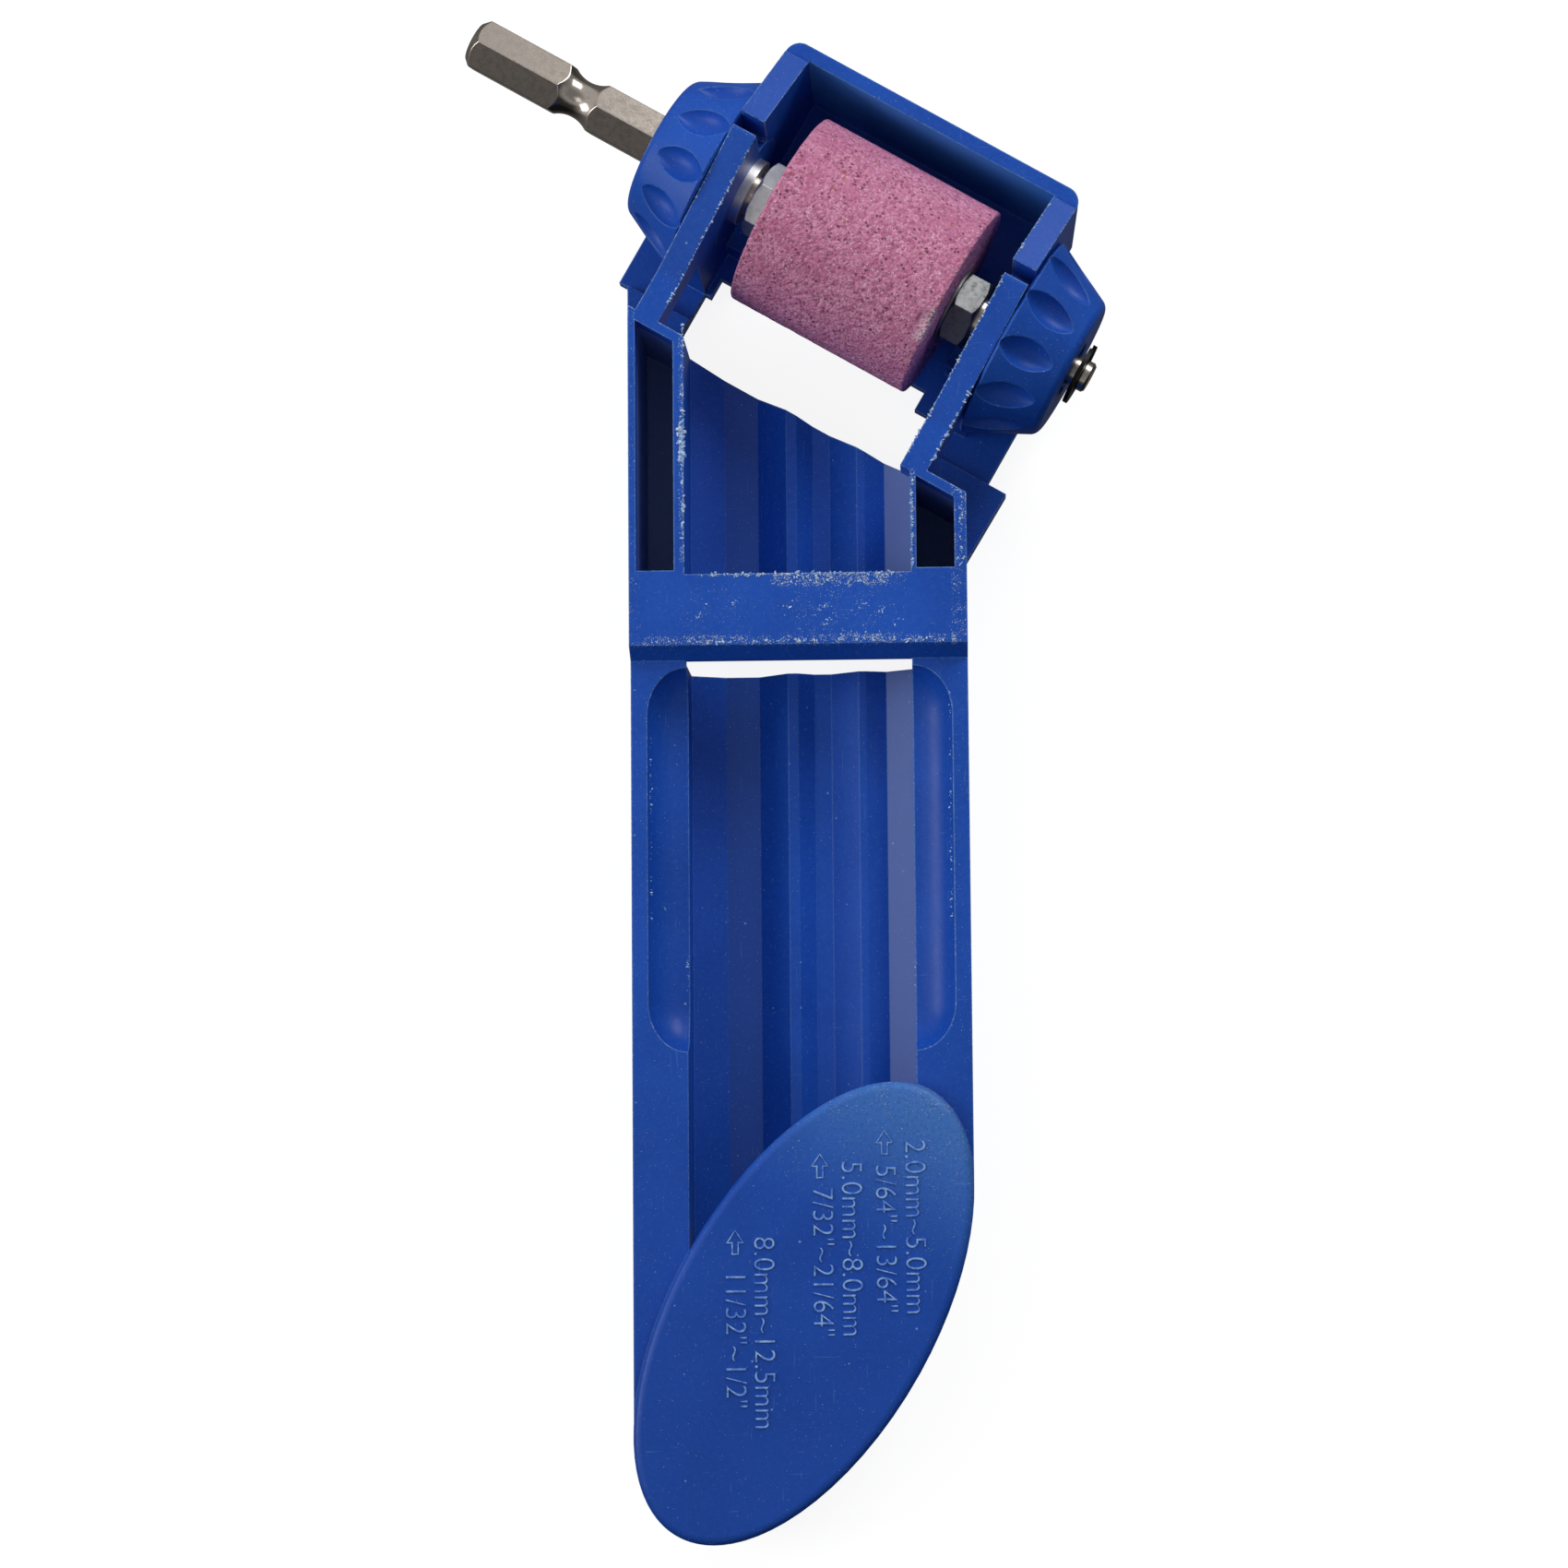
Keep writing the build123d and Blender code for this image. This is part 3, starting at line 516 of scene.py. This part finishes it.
# ------------------------------------------------------------------ raised marks on the oval plate
def mark_plastic():
    """The same plastic, paler on the tops of the raised marks: partly rubbed wear, partly a painted
    highlight.
    """
    s = Shader("rubbed_blue_plastic_with_painted_highlight")
    rub = s.step(s.noise(1.1, 4, 0.65), 0.35, 0.65)
    # The paler tone is partly rubbed wear and partly a painted highlight on the marks
    s.put(s.bsdf.inputs["Base Color"], s.mix(rub, (0.070, 0.22, 0.72), (0.34, 0.58, 0.95)))
    s.put(s.bsdf.inputs["Roughness"], s.add(0.34, s.mul(s.noise(4.0, 3, 0.6), 0.2)))
    s.edges(0.05)
    s.bump(s.mul(s.noise(5.5, 3, 0.6), 0.01), 0.8)
    return s.mat


mark_blue = mark_plastic()


def mark(name, text, x, y, cap, length):
    """A raised line of generic size numbers, read from the bridge towards the tail."""
    curve = bpy.data.curves.new(name, "FONT")
    curve.body = text
    curve.size = 1.0
    curve.align_x = "LEFT"
    curve.align_y = "CENTER"
    curve.extrude = 0.05
    curve.bevel_depth = 0.010
    curve.offset = -0.024                # thins the strokes
    o = bpy.data.objects.new(name, curve)
    bpy.context.collection.objects.link(o)
    bpy.context.view_layer.update()
    width = o.dimensions.x
    scale_x = length * MM / width
    scale_y = cap * MM / 0.72
    mesh = bpy.data.meshes.new_from_object(o)
    bpy.data.objects.remove(o)
    turn = Matrix.Rotation(math.radians(-90), 4, "Z")
    place = Matrix.Translation(body_point(x, y, PLATE_TOP))
    mesh.transform(place @ turn @ Matrix.Diagonal((scale_x, scale_y, 3.0 * MM, 1)))
    attach(name, mesh, mark_blue, "housing")


CAP = 2.65
mark("marks_small_mm", "2.0mm~5.0mm", 13.6, 48.9, CAP, 20.9)
mark("marks_small_inch", "5/64\"~13/64\"", 10.0, 45.9, CAP, 17.7)
mark("marks_middle_mm", "5.0mm~8.0mm", 5.85, 46.4, CAP, 21.0)
mark("marks_middle_inch", "7/32\"~21/64\"", 2.3, 43.2, CAP, 17.8)
mark("marks_large_mm", "8.0mm~12.5mm", -4.9, 37.3, CAP, 23.0)
mark("marks_large_inch", "11/32\"~1/2\"", -8.4, 33.2, CAP, 15.8)


def outline(name, points, radius):
    """A thin raised line round points given in mm on the plate."""
    curve = bpy.data.curves.new(name, "CURVE")
    curve.dimensions = "3D"
    curve.bevel_depth = radius * MM
    curve.bevel_resolution = 3
    line = curve.splines.new("POLY")
    line.points.add(len(points) - 1)
    for p, (px, py) in zip(line.points, points):
        p.co = (*body_point(px, py, PLATE_TOP), 1)
    line.use_cyclic_u = True
    o = bpy.data.objects.new(name, curve)
    bpy.context.collection.objects.link(o)
    mesh = bpy.data.meshes.new_from_object(o)
    bpy.data.objects.remove(o)
    attach(name, mesh, mark_blue, "housing")


def arrow(name, x, y):
    """A hollow arrow pointing to the bridge."""
    tip, barb, shaft, tail = 1.45, 1.0, 0.38, -1.4
    corners = [
        (0, tip), (barb, 0), (shaft, 0), (shaft, tail), (-shaft, tail), (-shaft, 0), (-barb, 0)
    ]
    outline(name, [(x + a, y + b) for a, b in corners], 0.13)


arrow("arrow_small", 10.0, 48.5)
arrow("arrow_middle", 2.1, 45.7)
arrow("arrow_large", -8.3, 36.5)


# ------------------------------------------------------------------ burrs and crumbs left by the grinding
def torn_plastic():
    s = Shader("torn_plastic")
    tone = s.mix(s.step(s.noise(2.5, 3, 0.6), 0.35, 0.65), (0.14, 0.36, 0.82), (0.80, 0.92, 1.0))
    s.put(s.bsdf.inputs["Base Color"], tone)
    s.put(s.bsdf.inputs["Roughness"], s.add(0.40, s.mul(s.noise(3.0, 3, 0.6), 0.3)))
    s.edges(0.03)
    s.bump(s.mul(s.noise(8.0, 3, 0.6), 0.02), 0.8)
    return s.mat


def crest(v):
    """Height in mm of a flange's top edge at v."""
    if v < -15.6:
        return DECK_TOP
    if v < 3.6:
        return DECK_TOP + (v + 15.6) * 5.5 / 19.2
    if v < 6.3:
        return 29.4
    return 29.4 - (v - 6.3) * 6.1 / 10.3


def burrs():
    """Small torn crumbs of plastic along the worn edges."""
    dice = random.Random(11)
    spots = []

    def line(start, end, count, spread, small, large, head=False, z=DECK_TOP):
        for _ in range(count):
            t = dice.random()
            a = start[0] + (end[0] - start[0]) * t + dice.gauss(0, spread)
            b = start[1] + (end[1] - start[1]) * t + dice.gauss(0, spread)
            size = 1.5 * (small + (large - small) * dice.random() ** 3)
            spots.append(((a, b), size, head, z))

    line((-14.1, 121), (-14.1, 150), 130, 0.08, 0.05, 0.15)
    line((-14.3, 132.5), (-14.3, 137.5), 90, 0.16, 0.07, 0.24)
    line((-11, 118.5), (12, 118.5), 130, 0.10, 0.05, 0.16)
    line((-1, 117.9), (11, 117.9), 170, 0.38, 0.03, 0.10)
    line((-18, 110.2), (19.5, 110.2), 150, 0.12, 0.04, 0.13)
    line((5, 110.6), (12, 110.6), 40, 0.3, 0.04, 0.11)
    line((14.2, 119.5), (14.2, 130), 60, 0.08, 0.05, 0.15)
    line((20.3, 119), (20.3, 129), 40, 0.2, 0.05, 0.13)
    clusters = (
        (-11.5, 114, 18), (2.8, 114.2, 30), (4.0, 112.6, 16), (7.7, 114.3, 22), (10.5, 114, 18),
        (-7.8, 115.2, 12), (-1.0, 115.0, 14), (12.5, 113.0, 10),
    )
    for cx, cy, count in clusters:
        line((cx - 0.9, cy - 0.7), (cx + 0.9, cy + 0.7), count, 0.30, 0.03, 0.10)
    line((17.65, -20.5), (17.65, 4), 120, 0.05, 0.05, 0.16, True)
    line((20.7, -20), (20.7, -9), 30, 0.05, 0.06, 0.20, True)
    line((-17.65, -19), (-17.65, 3), 70, 0.05, 0.05, 0.14, True)
    line((-20.7, -14), (-20.7, 3), 24, 0.05, 0.04, 0.11, True)
    line((17.65, 6.6), (17.65, 15.5), 24, 0.05, 0.05, 0.12, True)
    rails = ((18.55, 76, 104, 50), (-18.45, 74, 99, 34), (14.0, 67, 71, 10), (-14.0, 67, 72, 12))
    for x, start, end, count in rails:
        line((x, start), (x, end), count, 0.07, 0.03, 0.10, z=RAIL_TOP)

    bm = bmesh.new()
    for (a, b), size, head, z in spots:
        if head:
            place = head_point(a, b, crest(b))
        else:
            place = body_point(a, b, z)
        turn = Matrix.Rotation(dice.uniform(0, math.pi), 4, "Z")
        turn = turn @ Matrix.Rotation(dice.uniform(-0.5, 0.5), 4, "X")
        stretch = (dice.uniform(0.8, 2.0), dice.uniform(0.5, 0.9), dice.uniform(0.5, 0.8), 1)
        pose = Matrix.Translation(place) @ turn @ Matrix.Diagonal(stretch)
        made = bmesh.ops.create_icosphere(bm, subdivisions=1, radius=size * MM, matrix=pose)
        for vert in made["verts"]:
            vert.co += (vert.co - place) * dice.uniform(-0.35, 0.35)
            vert.co.z = min(vert.co.z, (HEAD_TOP - 0.05) * MM)
    mesh = bpy.data.meshes.new("edge_burrs")
    bm.to_mesh(mesh)
    bm.free()
    attach("edge_burrs", mesh, torn_plastic(), "housing")


burrs()


# ------------------------------------------------------------------ floor, light and camera
def floor_material():
    s = Shader("pale_floor")
    tone = s.mix(s.noise(0.02, 3, 0.5), (0.30, 0.30, 0.30), (0.34, 0.34, 0.34))
    s.put(s.bsdf.inputs["Base Color"], tone)
    s.bsdf.inputs["Roughness"].default_value = 0.9
    s.bsdf.inputs["Specular IOR Level"].default_value = 0.1
    s.bsdf.inputs["Emission Color"].default_value = (1, 1, 1, 1)
    s.bsdf.inputs["Emission Strength"].default_value = 0.88
    return s.mat


floor_mesh = bpy.data.meshes.new("floor")
reach = 3.0
corners = [(-reach, -reach, 0), (reach, -reach, 0), (reach, reach, 0), (-reach, reach, 0)]
floor_mesh.from_pydata(corners, [], [(0, 1, 2, 3)])
floor = bpy.data.objects.new("floor", floor_mesh)
floor.location.z = -0.0003
floor.visible_diffuse = False    # the bright floor lights and reflects in nothing
floor.visible_glossy = False
bpy.context.collection.objects.link(floor)
give(floor_material(), floor)


def area(name, place, target, size, power):
    light = bpy.data.lights.new(name, "AREA")
    light.energy = power
    light.shape = "SQUARE"
    light.size = size
    o = bpy.data.objects.new(name, light)
    o.location = place
    o.rotation_euler = (Vector(target) - Vector(place)).to_track_quat("-Z", "Y").to_euler()
    bpy.context.collection.objects.link(o)


area("key", (0.34, 0.48, 0.36), (0, 0.06, 0), 0.30, 1.55)
area("side", (-0.80, 0.05, 0.42), (0, 0, 0), 0.40, 2.1)
area("front", (-0.35, -0.02, 0.75), (0, 0.06, 0), 0.30, 0.26)


def studio():
    """A soft room: darker overhead, towards the tail, on the right and below the floor."""
    world = bpy.data.worlds.new("studio")
    world.use_nodes = True
    tree = world.node_tree
    background = tree.nodes["Background"]
    coords = tree.nodes.new("ShaderNodeTexCoord")

    def towards(direction, low, high, out_low, out_high):
        n = tree.nodes.new("ShaderNodeVectorMath")
        n.operation = "DOT_PRODUCT"
        n.inputs[1].default_value = direction
        tree.links.new(coords.outputs["Generated"], n.inputs[0])
        m = tree.nodes.new("ShaderNodeMapRange")
        m.interpolation_type = "SMOOTHSTEP"
        tree.links.new(n.outputs["Value"], m.inputs["Value"])
        m.inputs["From Min"].default_value = low
        m.inputs["From Max"].default_value = high
        m.inputs["To Min"].default_value = out_low
        m.inputs["To Max"].default_value = out_high
        return m.outputs[0]

    overhead = towards((0, -0.17, 0.985), 0.66, 0.95, 0.52, 0.22)
    tail_side = towards((0.12, -1, 0), -0.15, 0.75, 1.0, 0.06)
    # The dark card on the tail's side is low: it fades out higher up
    high = towards((0, 0, 1), 0.35, 0.75, 0.0, 1.0)
    below = towards((0, 0, 1), -0.08, 0.0, 0.25, 1.0)
    right = towards((1, 0.2, 0), 0.3, 0.9, 1.0, 0.4)

    def combine(op, a, b):
        n = tree.nodes.new("ShaderNodeMath")
        n.operation = op
        tree.links.new(a, n.inputs[0])
        tree.links.new(b, n.inputs[1])
        return n.outputs[0]

    card = combine("MAXIMUM", tail_side, high)
    level = combine("MULTIPLY", combine("MULTIPLY", overhead, card), combine("MULTIPLY", below, right))
    tree.links.new(level, background.inputs["Strength"])
    background.inputs["Color"].default_value = (1, 1, 1, 1)
    bpy.context.scene.world = world


studio()
bpy.context.scene.view_settings.view_transform = "Standard"

camera_data = bpy.data.cameras.new("camera")
camera_data.sensor_width = 36.0
camera_data.lens = 94.1
camera_data.clip_start = 0.01
camera = bpy.data.objects.new("camera", camera_data)
turn = (
    Matrix.Rotation(math.radians(0.65), 3, "Z")
    @ Matrix.Rotation(math.radians(-2.08), 3, "Y")
    @ Matrix.Rotation(math.radians(-5.37), 3, "X")
)
camera.matrix_world = Matrix.Translation(body_point(16.4, 45.4, 525.0)) @ turn.transposed().to_4x4()
bpy.context.collection.objects.link(camera)
bpy.context.scene.camera = camera
